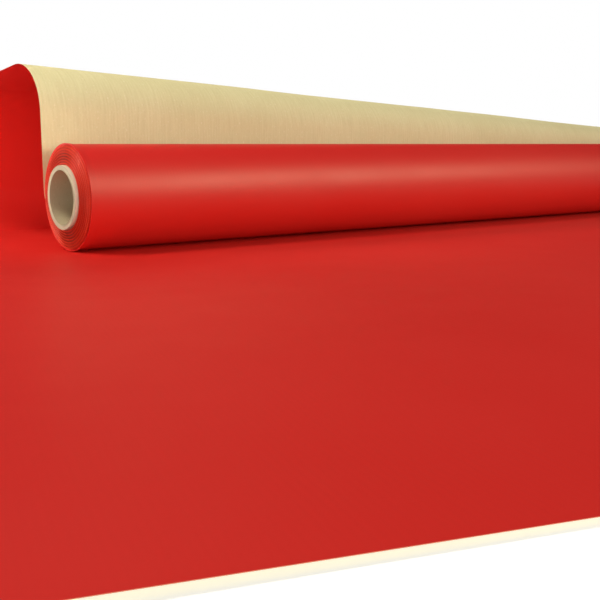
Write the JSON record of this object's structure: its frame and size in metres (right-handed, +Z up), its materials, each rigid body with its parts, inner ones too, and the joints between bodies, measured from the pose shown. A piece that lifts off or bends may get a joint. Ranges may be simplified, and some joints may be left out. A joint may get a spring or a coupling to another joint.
{
  "type": "backdrop paper roll",
  "caption": "Wide roll of ribbed backdrop paper, red on one side and kraft on the other, on a cardboard core, with its last stretch let out in a loop.",
  "frame": {"origin": "centre of the core's bore at mid-width", "axes": "+X along the roll's axis to its right end, +Y to the back where the web rises, +Z up"},
  "size_m": [1.7012, 1.3694, 0.1788],
  "materials": {
    "red_paper": "satin red print with fine ribs along the web",
    "kraft_paper": "matt natural kraft with fine ribs",
    "paper_edge": "cut edges of wound paper, red and kraft layers",
    "core_board": "matt grey-brown spiral-wound board",
    "tape": "matt gummed paper tape"
  },
  "bodies": {
    "sheet": {"floor_sheet": "red_paper", "loop_foot": "red_paper", "loop_back": "kraft_paper", "loop_back_bend": "kraft_paper", "loop_top": "kraft_paper", "loop_crest": "kraft_paper"},
    "rising_web": {"rising_web": "kraft_paper", "web_lead": "red_paper"},
    "roll": {"core_inner_ply": "core_board", "core_body": "core_board", "core_outer_ply": "core_board", "start_tape": "tape", "inner_wraps": "paper_edge", "middle_wraps": "paper_edge", "outer_wraps": "paper_edge", "outer_turn": "red_paper"}
  },
  "joints": [
    {"name": "roll_travel", "type": "slide", "parent": "sheet", "child": "rising_web", "axis": [0, -1, 0], "range_m": [-0.04, 0.2], "deforming": ["loop_crest", "loop_top"]},
    {"name": "roll_spin", "type": "hinge", "parent": "rising_web", "child": "roll", "pos_m": [0, 0, 0], "axis": [1, 0, 0], "range_deg": [-46, 230]}
  ],
  "couplings": [
    {"joint": "roll_spin", "follows": "roll_travel", "rad_per_m": 20}
  ]
}
